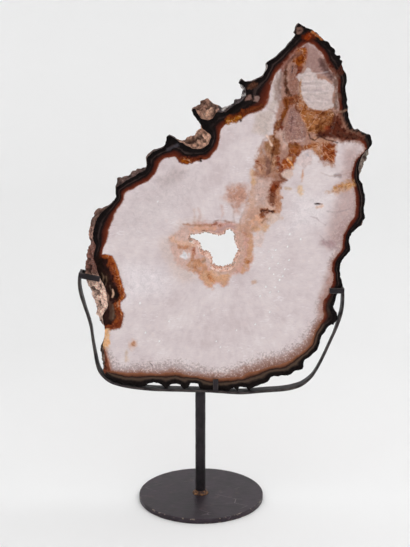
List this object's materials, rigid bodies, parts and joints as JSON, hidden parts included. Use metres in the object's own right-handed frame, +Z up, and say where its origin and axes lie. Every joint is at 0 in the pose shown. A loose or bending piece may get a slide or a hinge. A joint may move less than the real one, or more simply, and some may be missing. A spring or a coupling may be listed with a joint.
{
  "type": "agate slice on stand",
  "caption": "Large polished agate slice with ragged dark rind and a crystal-lined through hole, held upright by a bent flat-bar cradle on a post and round base plate.",
  "frame": {"origin": "centre of the base plate's underside", "axes": "+Z up, -Y out of the slice's polished front face, +X to the right as seen from the front"},
  "size_m": [0.3409, 0.152, 0.5705],
  "materials": {
    "base_plate": "satin, brown-black patina with fine scratches",
    "black_iron": "satin black patina",
    "weld": "heat-tinted, rough",
    "agate": "polished face, rough rind",
    "clear_quartz": "clear, glossy crystal faces"
  },
  "bodies": {
    "root": {"base_plate": "base_plate", "post": "black_iron", "post_weld": "weld", "cradle_bar": "black_iron", "left_front_finger": "black_iron", "left_back_finger": "black_iron", "right_front_finger": "black_iron", "right_back_finger": "black_iron", "bottom_front_tab": "black_iron", "bottom_back_tab": "black_iron", "agate_slice": "agate", "vug_crystals": "clear_quartz"}
  },
  "joints": []
}
